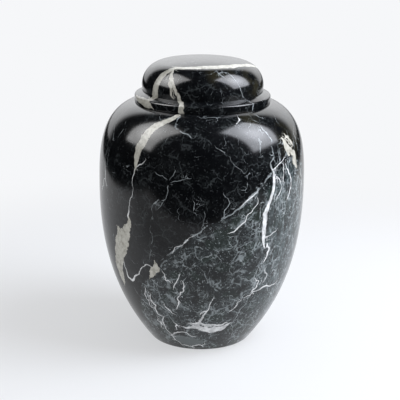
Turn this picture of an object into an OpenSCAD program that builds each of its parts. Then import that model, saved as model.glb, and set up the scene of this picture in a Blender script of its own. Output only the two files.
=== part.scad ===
// Cremation urn: a jar turned from one block of marble, with a lift-off lid turned from another.
// Millimetres, +Z up, origin at the centre of the underside.

/* [Body] */
// Height of the body from its underside to the seat of the lid
body_h = 229.5; // [185:0.5:285]
// Diameter of the body at its widest
belly_d = 193; // [160:1:235]
// Height of the widest place above the underside
belly_z = 150; // [115:1:175]
// Diameter of the flat foot
foot_d = 96.4; // [70:0.2:120]
// Angle at which the flank leaves the foot, measured from level
foot_flare = 51; // [35:1:70]
// Radius of the soft edge around the foot
foot_edge_r = 2; // [0.5:0.1:4]
// Fullness of the flank just above the foot
flank_low_fullness = 0.34; // [0.1:0.01:0.5]
// Fullness of the flank just below the belly
flank_high_fullness = 0.4; // [0.1:0.01:0.6]
// Fullness of the body just above the belly
shoulder_low_fullness = 0.385; // [0.1:0.005:0.6]
// Fullness of the shoulder below the lid
shoulder_high_fullness = 1; // [0.4:0.05:1.1]
// Slope at which the shoulder reaches the seat of the lid, measured from level
shoulder_slope = 17; // [5:1:35]

/* [Hollow] */
// Thickness of the wall
wall = 12.5; // [6:0.5:18]
// Thickness of the floor
floor_t = 14.5; // [6:0.5:24]
// Diameter of the flat in the middle of the floor
floor_flat_d = 40; // [10:1:56]
// Reach of the curve that leads from the floor into the wall
floor_reach = 36; // [15:1:45]
// Fullness of the hollow just below the belly
hollow_fullness = 0.52; // [0.2:0.01:0.6]
// Diameter of the mouth
mouth_d = 88; // [60:1:98]
// Radius of the soft edge around the mouth
mouth_edge_r = 1; // [0.2:0.1:2]

/* [Lid] */
// Diameter of the flange
flange_d = 126; // [104:1:152]
// Height of the flange's upright side
flange_t = 6.9; // [4:0.1:10]
// Rise of the flange's top from its rim to the dome
flange_rise = 3.2; // [0:0.1:6]
// Width of the flange beyond the dome
flange_ledge = 6.6; // [2:0.1:14]
// Radius of the flange's upper edge
flange_top_r = 1.8; // [0.3:0.1:3]
// Radius of the flange's lower edge
flange_low_r = 1; // [0.3:0.1:2]
// Height of the dome above the flange
dome_h = 30.4; // [25:0.1:45]
// Radius of the dome's shoulder
dome_shoulder_r = 21.5; // [10:0.5:24]
// Radius of the dome's nearly flat crown
dome_crown_r = 197; // [180:1:500]
// Width by which the dome draws in at its base
dome_tuck = 0.5; // [0:0.1:1.5]

/* [Fits] */
// Width of the body's seat beyond the flange
seat_ledge = 1.2; // [0.4:0.1:5]
// Depth to which the lid's plug reaches into the mouth
plug_h = 14; // [6:0.5:26]
// Clearance all round between the plug and the mouth
plug_gap = 1; // [0.3:0.1:2]
// Radius of the plug's lower edge
plug_edge_r = 1.5; // [0.3:0.1:3]

/* [Hidden] */

$fn = 180;
marble_black = [0.07, 0.07, 0.075];

// Steps along each long curve and around each small edge
curve_steps = 24;
hollow_steps = 18;
edge_steps = 4;
dome_steps = 12;

belly_r = belly_d / 2;
foot_r = foot_d / 2;
mouth_r = mouth_d / 2;
flange_r = flange_d / 2;
seat_r = flange_r + seat_ledge;
dome_r = flange_r - flange_ledge;
plug_r = mouth_r - plug_gap;
flange_top_z = body_h + flange_t;
dome_base_z = flange_top_z + flange_rise;
lid_top_z = dome_base_z + dome_h;

// Where the hollow ends below the seat: the seat's edge, moved in square to the shoulder
hollow_top_r = seat_r - wall * sin(shoulder_slope);
hollow_top_z = body_h - wall * cos(shoulder_slope);
hollow_belly_r = belly_r - wall;

// Unit vector along v
function unit(v) = v / norm(v);

// Point at share t of the cubic curve from p0 to p3 that is drawn towards p1 and p2
function cubic(p0, p1, p2, p3, t) =
    pow(1 - t, 3) * p0 + 3 * pow(1 - t, 2) * t * p1 + 3 * (1 - t) * t * t * p2 + pow(t, 3) * p3;

// Points of that curve, without its first one
function curve(p0, p1, p2, p3, steps) =
    [for (i = [1:steps]) cubic(p0, p1, p2, p3, i / steps)];

// The points of a list from last to first
function reversed(points) = [for (i = [len(points) - 1:-1:0]) points[i]];

// Round corner at p between the points a and b, as points of an arc of radius r
function rounded(a, p, b, r) =
    let (
        u = unit(a - p),
        v = unit(b - p),
        half_angle = acos(u * v) / 2,
        centre = p + unit(u + v) * r / sin(half_angle),
        start = p + u * r / tan(half_angle) - centre,
        end = p + v * r / tan(half_angle) - centre,
        turn = acos(start * end / (r * r)),
        side = unit(end - start * cos(turn)) * r
    )
    [for (i = [0:edge_steps]) centre + start * cos(turn * i / edge_steps) + side * sin(turn * i / edge_steps)];

// Flank from the foot up to the belly
function flank() =
    let (
        foot = [foot_r, 0],
        pull = norm([belly_r - foot_r, belly_z]) * flank_low_fullness,
        low = foot + pull * [cos(foot_flare), sin(foot_flare)],
        high = [belly_r, belly_z * (1 - flank_high_fullness)]
    )
    curve(foot, low, high, [belly_r, belly_z], curve_steps);

// Curve from a belly point up to an end point that it meets at the shoulder's slope
function shoulder(start, end, steps) =
    let (
        reach = (start[0] - end[0]) * shoulder_high_fullness,
        low = start + [0, (end[1] - start[1]) * shoulder_low_fullness],
        high = end + reach * [1, -tan(shoulder_slope)]
    )
    curve(start, low, high, end, steps);

// Wall of the hollow from the flat of the floor up to the belly
function bowl() =
    let (
        floor_edge = [floor_flat_d / 2, floor_t],
        low = floor_edge + [floor_reach, 0],
        high = [hollow_belly_r, belly_z - (belly_z - floor_t) * hollow_fullness]
    )
    concat([floor_edge], curve(floor_edge, low, high, [hollow_belly_r, belly_z], hollow_steps));

// Points of an arc about centre between two angles, without its first one
function arc(centre, r, from, to, steps) =
    [for (i = [1:steps]) let (a = from + (to - from) * i / steps) centre + r * [cos(a), sin(a)]];

// Half section of the body
function body_outline() =
    let (
        outer = concat(flank(), shoulder([belly_r, belly_z], [seat_r, body_h], curve_steps)),
        inner = concat(
            bowl(),
            shoulder([hollow_belly_r, belly_z], [hollow_top_r, hollow_top_z], hollow_steps)
        )
    )
    concat(
        [[0, 0]],
        rounded([0, 0], [foot_r, 0], outer[0], foot_edge_r),
        outer,
        rounded([seat_r, body_h], [mouth_r, body_h], [mouth_r, hollow_top_z], mouth_edge_r),
        [[mouth_r, hollow_top_z]],
        reversed(inner),
        [[0, floor_t]]
    );

// Half section of the lid
function lid_outline() =
    let (
        lean = asin((dome_r - dome_shoulder_r) / (dome_crown_r - dome_shoulder_r)),
        crown_centre = [0, lid_top_z - dome_crown_r],
        shoulder_centre = crown_centre + (dome_crown_r - dome_shoulder_r) * [sin(lean), cos(lean)],
        plug_low = [plug_r, body_h - plug_h],
        plug_root = [plug_r, body_h],
        flange_low = [flange_r, body_h],
        flange_high = [flange_r, flange_top_z],
        dome_foot = [dome_r - dome_tuck, dome_base_z]
    )
    concat(
        [[0, body_h - plug_h]],
        rounded([0, body_h - plug_h], plug_low, plug_root, plug_edge_r),
        [plug_root],
        rounded(plug_root, flange_low, flange_high, flange_low_r),
        rounded(flange_low, flange_high, dome_foot, flange_top_r),
        [dome_foot, [dome_r, shoulder_centre[1]]],
        arc(shoulder_centre, dome_shoulder_r, 0, 90 - lean, dome_steps),
        arc(crown_centre, dome_crown_r, 90 - lean, 90, dome_steps)
    );

// The jar, hollow and open at the mouth
module urn_body() {
    color(marble_black)
        rotate_extrude()
            polygon(body_outline());
}

// The lid with its dome, its flange and the plug that centres it in the mouth
module urn_lid() {
    color(marble_black)
        rotate_extrude()
            polygon(lid_outline());
}

urn_body();
urn_lid();
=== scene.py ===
"""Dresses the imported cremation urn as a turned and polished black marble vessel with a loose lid.

Sizes are in millimetres up to the point where they become mesh coordinates, which are in metres.
A place on a piece is (degrees round, millimetres along the outline). Degrees are 0 at the front, on
the -Y side, and rise towards +X. The outline is followed up from the foot on the body, and out from
the middle of the crown on the lid.
"""

import logging
import math
from collections.abc import Callable, Sequence
from dataclasses import dataclass, field
from enum import Enum
from functools import partial

import bpy
import numpy as np
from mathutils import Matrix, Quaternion, Vector


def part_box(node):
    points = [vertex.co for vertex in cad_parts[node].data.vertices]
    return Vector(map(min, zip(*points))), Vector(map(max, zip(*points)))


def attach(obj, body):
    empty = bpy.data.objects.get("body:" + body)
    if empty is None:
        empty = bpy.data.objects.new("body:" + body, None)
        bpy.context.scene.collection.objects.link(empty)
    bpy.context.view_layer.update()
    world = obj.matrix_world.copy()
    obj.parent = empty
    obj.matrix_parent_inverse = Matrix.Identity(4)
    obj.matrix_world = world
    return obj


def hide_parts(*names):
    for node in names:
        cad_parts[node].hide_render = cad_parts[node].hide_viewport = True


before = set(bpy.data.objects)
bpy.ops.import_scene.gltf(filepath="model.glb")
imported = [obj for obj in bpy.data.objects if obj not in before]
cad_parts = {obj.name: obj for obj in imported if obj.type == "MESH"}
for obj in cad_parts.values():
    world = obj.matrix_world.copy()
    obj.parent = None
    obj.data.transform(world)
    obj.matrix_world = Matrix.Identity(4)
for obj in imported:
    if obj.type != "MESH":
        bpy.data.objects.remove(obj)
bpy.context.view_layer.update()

log = logging.getLogger("urn")
Socket = bpy.types.NodeSocket

MM = 0.001
# A vein's stored distances soar from this far beyond its edge, in mm, and this steeply.
SOAR_FROM_MM = 2.5
SOAR = 2.0
# The least half-width that a vein is stored with, and the least radius that a step round is taken at, in mm.
LEAST_HALF_WIDTH = 0.05
LEAST_RADIUS = 5
# Settings that many nodes share: a ramp with eased ends, a blend of two colours, and a seeded noise.
SMOOTH = {"interpolation_type": "SMOOTHSTEP"}
COLOURS = {"out": 2, "data_type": "RGBA"}
SEEDED = {"noise_dimensions": "4D"}


# ---------------------------------------------------------------- small helpers

def linear(hex_colour: str) -> tuple[float, float, float, float]:
    """Turns an sRGB colour into the linear colour that shaders take.

    Args:
        hex_colour: the colour as "#rrggbb".

    Returns:
        Linear red, green and blue, and an alpha of 1.
    """
    channels = [int(hex_colour[i:i + 2], 16) / 255 for i in (1, 3, 5)]
    low_end, slope, gain, power = 0.04045, 12.92, 1.055, 2.4
    straight = [c / slope if c <= low_end else ((c + gain - 1) / gain) ** power for c in channels]
    return (*straight, 1.0)


def add(
    tree: bpy.types.NodeTree, kind: str, inputs: Sequence | dict = (), out: int | str = 0, **settings: object,
) -> Socket | None:
    """Adds a shader node with its settings, and fills or links its inputs.

    Args:
        tree: the node tree that gets the node.
        kind: the node's type, without the "ShaderNode" in front.
        inputs: what goes into each input, in order or by the input's name or number: a number, a
            colour as "#rrggbb", or a socket to link.
        out: which output is wanted.
        settings: the node's own properties.

    Returns:
        That output, or None for a node that has none.
    """
    made = tree.nodes.new("ShaderNode" + kind)
    for name, value in settings.items():
        setattr(made, name, value)
    for name, value in inputs.items() if isinstance(inputs, dict) else enumerate(inputs):
        if isinstance(value, Socket):
            tree.links.new(value, made.inputs[name])
        else:
            made.inputs[name].default_value = linear(value) if isinstance(value, str) else value
    return made.outputs[out] if made.outputs else None


# ---------------------------------------------------------------- outlines, in millimetres (radius, height)

def cubic(start: tuple, start_pull: tuple, end_pull: tuple, end: tuple, steps: int = 60) -> np.ndarray:
    """Points on a cubic curve.

    Args:
        start, end: the curve's ends.
        start_pull, end_pull: the points that pull it out of a straight line.
        steps: how many parts it is drawn in.

    Returns:
        steps + 1 points, both ends included.
    """
    t = np.linspace(0, 1, steps + 1)[:, None]
    a, b, c, d = (np.array(p, float) for p in (start, start_pull, end_pull, end))
    return (1 - t) ** 3 * a + 3 * (1 - t) ** 2 * t * b + 3 * (1 - t) * t ** 2 * c + t ** 3 * d


def rounded(before: tuple, corner: tuple, after: tuple, radius: float, steps: int = 6) -> np.ndarray:
    """An arc that rounds the corner between two straight stretches.

    Args:
        before, after: a point on each stretch.
        corner: where the stretches meet.
        radius: the arc's radius.
        steps: how many parts it is drawn in.

    Returns:
        The arc's points, from the first stretch to the second.
    """
    p = np.array(corner, float)
    u = (np.array(before, float) - p) / math.dist(before, corner)
    v = (np.array(after, float) - p) / math.dist(after, corner)
    half = math.acos(float(np.clip(u @ v, -1, 1))) / 2
    middle = p + (u + v) / np.linalg.norm(u + v) * radius / math.sin(half)
    first, last = (p + w * radius / math.tan(half) - middle for w in (u, v))
    start = math.atan2(first[1], first[0])
    turn = (math.atan2(last[1], last[0]) - start + math.pi) % (2 * math.pi) - math.pi
    angles = start + turn * np.linspace(0, 1, steps + 1)
    return middle + radius * np.column_stack([np.cos(angles), np.sin(angles)])


def arc(middle: tuple, radius: float, first: float, last: float, steps: int) -> np.ndarray:
    """Points on an arc, between two angles in radians above the horizontal."""
    angles = np.linspace(first, last, steps + 1)
    return np.array(middle) + radius * np.column_stack([np.cos(angles), np.sin(angles)])


def evened(points: np.ndarray, spacing: float) -> np.ndarray:
    """Splits long stretches, so that no two neighbours lie further apart than the spacing.

    Args:
        points: the outline, whose own points are all kept.
        spacing: the longest stretch allowed.

    Returns:
        The outline with points added.
    """
    made = [points[:1]]
    for a, b in zip(points[:-1], points[1:]):
        parts = max(1, math.ceil(math.dist(a, b) / spacing))
        made.append(a + (b - a) * np.linspace(0, 1, parts + 1)[1:, None])
    return np.concatenate(made)


def thinned(points: np.ndarray, spacing: float) -> np.ndarray:
    """Draws a smooth curve again with points about one spacing apart along it.

    Args:
        points: the curve.
        spacing: the distance between its new points, in mm.

    Returns:
        The new points, with both ends kept.
    """
    run = np.concatenate([[0], np.cumsum(np.hypot(*np.diff(points, axis=0).T))])
    at = np.linspace(0, run[-1], max(2, round(run[-1] / spacing) + 1))
    return np.column_stack([np.interp(at, run, points[:, i]) for i in (0, 1)])


# ---------------------------------------------------------------- turned pieces and what is drawn on them

class Layer(Enum):
    """The kinds of vein in the stone, each named as the mesh attribute that holds it."""

    CREAM = "cream_vein"
    WHITE = "white_vein"
    HAIR = "hair_vein"
    GREY = "grey_lump"


@dataclass(frozen=True)
class Vein:
    """One vein of calcite, followed across the surface.

    course holds (degrees round, mm along the outline, width in mm) for each bend. jag is how far
    its kinks stray to the side, as a share of the distance between them.
    """

    layer: Layer
    course: tuple[tuple[float, float, float], ...]
    jag: float = 0.09


@dataclass(frozen=True)
class Stain:
    """A soft-edged place where the stone changes: its middle (degrees round, mm along) and reach in mm."""

    degrees: float
    along: float
    reach: float


class Face:
    """The shown side of a turned piece: its outline, with distances measured along it."""

    def __init__(self, outline: np.ndarray) -> None:
        """Args: outline: the (radius, height) points in mm, in the order that distances are measured."""
        self.outline = outline
        self.run = np.concatenate([[0], np.cumsum(np.hypot(*np.diff(outline, axis=0).T))])

    def radius(self, along: np.ndarray) -> np.ndarray:
        """The radius in mm at each distance along the outline."""
        return np.interp(along, self.run, self.outline[:, 0])

    def points(self, degrees: np.ndarray, along: np.ndarray) -> np.ndarray:
        """The points in space of places on the face.

        Args:
            degrees, along: the places, in degrees round and mm along the outline.

        Returns:
            One point in mm for each place.
        """
        radius, height = self.radius(along), np.interp(along, self.run, self.outline[:, 1])
        angle = np.radians(degrees)
        return np.column_stack([radius * np.sin(angle), -radius * np.cos(angle), height])

    def traced(
        self, vein: Vein, rng: np.random.Generator, finest: float = 1.4, furthest: float = 1.8,
    ) -> tuple[np.ndarray, np.ndarray]:
        """Follows a vein, with kinks between its bends down to the finest length.

        Args:
            vein: what is followed.
            rng: where the kinks come from.
            finest: the longest stretch that may stay straight, in mm.
            furthest: how far a kink may stray, in standard deviations.

        Returns:
            The vein's points in mm, and its half-width at each.
        """
        course = np.array(vein.course, float)
        while True:
            scale = np.radians(1) * self.radius((course[:-1, 1] + course[1:, 1]) / 2)
            steps = np.diff(course, axis=0)
            round_mm, along_mm = steps[:, 0] * scale, steps[:, 1]
            if np.hypot(round_mm, along_mm).max() <= finest:
                break
            stray = vein.jag * np.clip(rng.standard_normal(len(steps)), -furthest, furthest)
            middle = (course[:-1] + course[1:]) / 2
            middle[:, 0] -= stray * along_mm / np.maximum(scale, 1e-6)
            middle[:, 1] += stray * round_mm
            together = np.empty((len(course) + len(middle), 3))
            together[0::2], together[1::2] = course, middle
            course = together
        return self.points(course[:, 0], course[:, 1]), course[:, 2] / 2


@dataclass
class TurnedPiece:
    """A solid of revolution as a fine mesh, with its veins held as mesh attributes.

    hidden_start, shown and hidden_end are stretches of the outline in mm, in order from the axis
    underneath, out and round, and back to the axis. far is stored where no vein is near, reach is
    how many mm round a vein are measured, in batches of vertices, and sharp_from is in degrees.
    """

    name: str
    hidden_start: np.ndarray
    shown: np.ndarray
    hidden_end: np.ndarray
    columns: int
    far: float = 1e5
    reach: float = 14.0
    batch: int = 4000
    sharp_from: float = 30
    places: np.ndarray = field(init=False)

    def rows(self) -> np.ndarray:
        """The whole outline, row by row."""
        return np.concatenate([self.hidden_start, self.shown, self.hidden_end])

    def build(self) -> bpy.types.Object:
        """Turns the outline into a mesh.

        Returns:
            The object, smooth but for the sharp turned edges, with a map that unrolls it.
        """
        rows, count = self.rows(), self.columns
        ring = np.radians(np.arange(count) * 360 / count)
        rings = rows[1:-1]
        turned = np.stack([
            rings[:, :1] * np.sin(ring),
            -rings[:, :1] * np.cos(ring),
            np.repeat(rings[:, 1:], count, axis=1),
        ], axis=-1).reshape(-1, 3)
        ends = np.array([[0, 0, rows[0, 1]], [0, 0, rows[-1, 1]]])
        self.places = np.concatenate([turned, ends])
        first_pole, last_pole = len(turned), len(turned) + 1

        here, after = np.arange(count), (np.arange(count) + 1) % count
        starts = np.arange(len(rings) - 1)[:, None] * count
        quads = np.stack([starts + here, starts + after, starts + count + after, starts + count + here], -1)
        last = (len(rings) - 1) * count
        first_fan = np.column_stack([np.full(count, first_pole), after, here])
        last_fan = np.column_stack([last + here, last + after, np.full(count, last_pole)])

        mesh = bpy.data.meshes.new(self.name)
        faces = [*first_fan.tolist(), *quads.reshape(-1, 4).tolist(), *last_fan.tolist()]
        mesh.from_pydata((self.places * MM).tolist(), [], faces)
        self._unroll(mesh, rows)
        mesh.shade_smooth()
        mesh.set_sharp_from_angle(angle=math.radians(self.sharp_from))
        piece = bpy.data.objects.new(self.name, mesh)
        bpy.context.scene.collection.objects.link(piece)
        return piece

    def _unroll(
        self, mesh: bpy.types.Mesh, rows: np.ndarray, hidden_share: float = 0.3, rim: float = 0.002,
    ) -> None:
        """Adds the map that the surface is laid out by: degrees across, and the outline upwards.

        Args:
            mesh: the turned mesh.
            rows: its outline.
            hidden_share: how much of its true length a hidden stretch gets.
            rim: the free edge round the map.
        """
        shown_from, shown_to = len(self.hidden_start), len(self.hidden_start) + len(self.shown)
        lengths = np.hypot(*np.diff(rows, axis=0).T)
        at = np.arange(len(lengths))
        lengths = np.where((at >= shown_from) & (at < shown_to), lengths, lengths * hidden_share)
        v = np.concatenate([[0], np.cumsum(lengths)])
        v = rim + (1 - 2 * rim) * v / v[-1]
        u = rim + (1 - 2 * rim) * np.arange(self.columns + 1) / self.columns
        left, right, middle = u[:-1], u[1:], (u[:-1] + u[1:]) / 2
        fan_first = np.stack([
            np.column_stack([middle, np.full_like(middle, v[0])]),
            np.column_stack([right, np.full_like(right, v[1])]),
            np.column_stack([left, np.full_like(left, v[1])]),
        ], 1)
        low, high = np.meshgrid(v[1:-2], left, indexing="ij")[0], np.meshgrid(v[2:-1], left, indexing="ij")[0]
        lefts, rights = np.broadcast_to(left, low.shape), np.broadcast_to(right, low.shape)
        quads = np.stack([
            np.stack([lefts, low], -1), np.stack([rights, low], -1),
            np.stack([rights, high], -1), np.stack([lefts, high], -1),
        ], 2)
        fan_last = np.stack([
            np.column_stack([left, np.full_like(left, v[-2])]),
            np.column_stack([right, np.full_like(right, v[-2])]),
            np.column_stack([middle, np.full_like(middle, v[-1])]),
        ], 1)
        corners = np.concatenate([fan_first.reshape(-1, 2), quads.reshape(-1, 2), fan_last.reshape(-1, 2)])
        layer = mesh.uv_layers.new(name="OFBake")
        layer.uv.foreach_set("vector", corners.astype(np.float32).ravel())

    def shown_slice(self) -> slice:
        """Which vertices belong to the shown stretch."""
        first = (len(self.hidden_start) - 1) * self.columns
        return slice(first, first + len(self.shown) * self.columns)

    def normals(self) -> np.ndarray:
        """The surface's direction at each vertex of the shown stretch.

        Returns:
            One direction of length 1 for each vertex.
        """
        slope = np.gradient(self.shown, axis=0)
        slope /= np.linalg.norm(slope, axis=1, keepdims=True)
        out, up = slope[:, 1:], -slope[:, :1]
        ring = np.radians(np.arange(self.columns) * 360 / self.columns)
        return np.stack([
            out * np.sin(ring), -out * np.cos(ring), np.repeat(up, self.columns, axis=1),
        ], -1).reshape(-1, 3)

    def draw_veins(
        self, piece: bpy.types.Object, face: Face, veins: list[Vein], rng: np.random.Generator,
    ) -> None:
        """Stores how far each vertex lies from the nearest vein of each layer.

        The distance counts in half-widths of the vein, with a sign for its side, so that between
        two vertices the middle of a vein is found exactly, however thin it is.

        Args:
            piece: the turned piece.
            face: the side that the veins' places are given on.
            veins: what is drawn.
            rng: where their kinks come from.
        """
        shown, normals = self.places[self.shown_slice()], self.normals()
        fields = {layer: np.full(len(self.places), self.far, np.float32) for layer in Layer}
        for vein in veins:
            line, half = face.traced(vein, rng)
            low, high = line.min(axis=0) - self.reach, line.max(axis=0) + self.reach
            near = np.flatnonzero(((shown > low) & (shown < high)).all(axis=1))
            if len(near) == 0:
                continue
            for part in np.array_split(near, math.ceil(len(near) / self.batch)):
                found = signed_widths(shown[part], normals[part], line, half)
                widths = fields[vein.layer]
                at = part + self.shown_slice().start
                widths[at] = np.where(np.abs(found) < np.abs(widths[at]), found, widths[at])
        for layer, widths in fields.items():
            store(piece, layer.value, widths)


def signed_widths(points: np.ndarray, normals: np.ndarray, line: np.ndarray, half: np.ndarray) -> np.ndarray:
    """How far points lie from a line, in the line's own half-widths, negative on one side of it.

    Args:
        points: points on the surface, in mm.
        normals: the surface's direction at each.
        line: the line's points.
        half: its half-width at each.

    Returns:
        One number for each point.
    """
    start, step = line[:-1], np.diff(line, axis=0)
    away = points[:, None] - start[None]
    share = np.einsum("pli,li->pl", away, step) / np.maximum((step ** 2).sum(axis=1), 1e-9)
    share = np.clip(share, 0, 1)
    gap = np.linalg.norm(away - share[..., None] * step[None], axis=-1)
    nearest = gap.argmin(axis=1)
    each = np.arange(len(points))
    share = share[each, nearest]
    width = half[nearest] * (1 - share) + half[nearest + 1] * share
    side = np.einsum("pi,pi->p", np.cross(step[nearest], away[each, nearest]), normals)
    apart = gap[each, nearest]
    # Far from the line the numbers soar, so that where the sign flips there, no false line shows.
    soar = 1 + (np.maximum(apart - width - SOAR_FROM_MM, 0) * SOAR) ** 3
    return np.where(side < 0, -1, 1) * apart * soar / np.maximum(width, LEAST_HALF_WIDTH)


def store(piece: bpy.types.Object, name: str, values: np.ndarray) -> None:
    """Keeps one number for each vertex on the piece's mesh."""
    attribute = piece.data.attributes.new(name, "FLOAT", "POINT")
    attribute.data.foreach_set("value", values.astype(np.float32))


def thread(
    face: Face, start: tuple[float, float], heading: float, length: float, width: float,
    turns: Sequence[float],
) -> Vein:
    """A short hairline with a few straight legs.

    Args:
        face: where it lies.
        start: its first end, in degrees and mm along.
        heading: which way it sets off, in radians from straight round.
        length: its whole length in mm.
        width: its greatest width in mm.
        turns: how far it turns before each leg, in radians.

    Returns:
        The hairline.
    """
    degrees, along = start
    course = [(degrees, along, width * 0.4)]
    for leg, turn in enumerate(turns):
        heading += turn
        step = length / len(turns)
        degrees += math.degrees(step * math.cos(heading) / max(float(face.radius(along)), LEAST_RADIUS))
        along = float(np.clip(along + step * math.sin(heading), 1, face.run[-1] - 1))
        course.append((degrees, along, width * (0.3 if leg == len(turns) - 1 else 1)))
    return Vein(Layer.HAIR, tuple(course), jag=0.2)


def scattered(
    face: Face, count: int, rng: np.random.Generator, length: tuple[float, float], width: float,
    allowed: Callable[[float, float], bool], lean: float = math.pi,
) -> list[Vein]:
    """Hairlines at places chosen by chance.

    Args:
        face: where they lie.
        count: how many are tried.
        rng: where the chances come from.
        length: the shortest and longest, in mm.
        width: the greatest width, in mm.
        allowed: says from (degrees, mm along) whether a hairline may start there.
        lean: how far they may lean out of upright, in radians.

    Returns:
        The hairlines that were allowed.
    """
    made = []
    for _ in range(count):
        start = rng.uniform(-180, 180), rng.uniform(2, face.run[-1] - 2)
        heading, total = math.pi / 2 + rng.uniform(-lean, lean), rng.uniform(*length)
        thick = width * rng.uniform(0.45, 1)
        turns = rng.uniform(-0.9, 0.9, 3) * min(1, lean)
        if allowed(*start):
            made.append(thread(face, start, heading, total, thick, turns))
    return made


def within(left: float, right: float, low: float, high: float, degrees: float, along: float) -> bool:
    """Whether a place lies inside bounds: left and right in degrees, low and high in mm along."""
    return left < degrees < right and low < along < high


def splinters(
    face: Face, veins: list[Vein], rng: np.random.Generator, every: float, width: float,
) -> list[Vein]:
    """Short side threads that leave veins at a slant, as where a crack has splintered.

    Args:
        face: where they lie.
        veins: what they leave.
        rng: where chance comes from.
        every: how far apart they are, in mm, on the whole.
        width: the greatest width, in mm.

    Returns:
        The side threads.
    """
    made = []
    for vein in veins:
        for start, end in zip(vein.course[:-1], vein.course[1:]):
            across = (end[0] - start[0]) * math.radians(1) * max(float(face.radius(start[1])), LEAST_RADIUS)
            up = end[1] - start[1]
            for _ in range(rng.poisson(math.hypot(across, up) / every)):
                share = rng.uniform()
                place = start[0] + share * (end[0] - start[0]), start[1] + share * up
                slant = math.atan2(up, across) + rng.choice((-1, 1)) * rng.uniform(0.3, 1.2)
                length, thick = rng.uniform(2, 7), width * rng.uniform(0.5, 1)
                made.append(thread(face, place, slant, length, thick, rng.uniform(-0.5, 0.5, 2)))
    return made


# ---------------------------------------------------------------- the finish

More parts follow.
